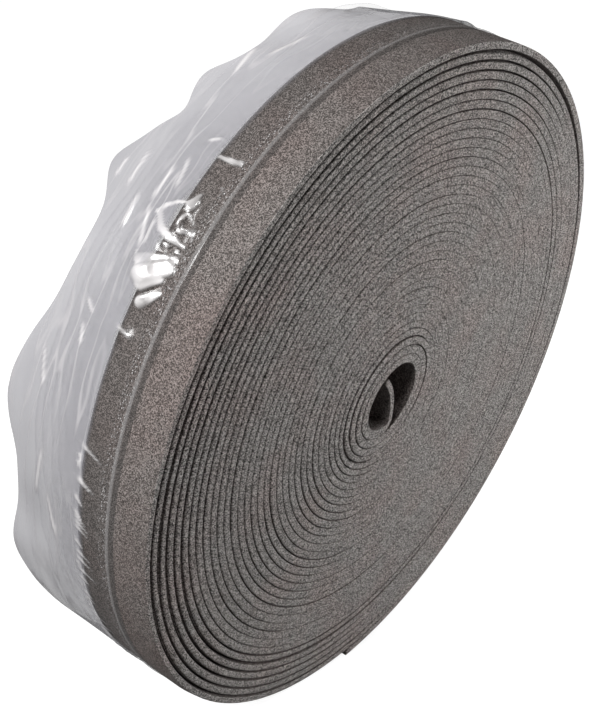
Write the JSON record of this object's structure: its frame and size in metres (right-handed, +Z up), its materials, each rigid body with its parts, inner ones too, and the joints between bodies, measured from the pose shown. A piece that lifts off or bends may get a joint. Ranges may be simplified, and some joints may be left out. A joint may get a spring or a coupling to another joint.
{
  "type": "insulation roll",
  "caption": "Roll of grey foam edge insulation strip wound in a spiral round an open bore, with a thin clear film flap welded along it that sticks out past the back edge.",
  "frame": {"origin": "on the floor, under the middle of the whole roll with its film", "axes": "+Z up, +Y along the roll's axis from the plain end to the film, +X to the right seen from the plain end"},
  "size_m": [0.8059, 0.175, 0.7997],
  "materials": {
    "foam": "grey closed-cell foam, grainy and matt",
    "film": "thin clear film, crinkled and glossy"
  },
  "bodies": {
    "root": {"foam_roll": "foam", "film_flap": "film"}
  },
  "joints": []
}
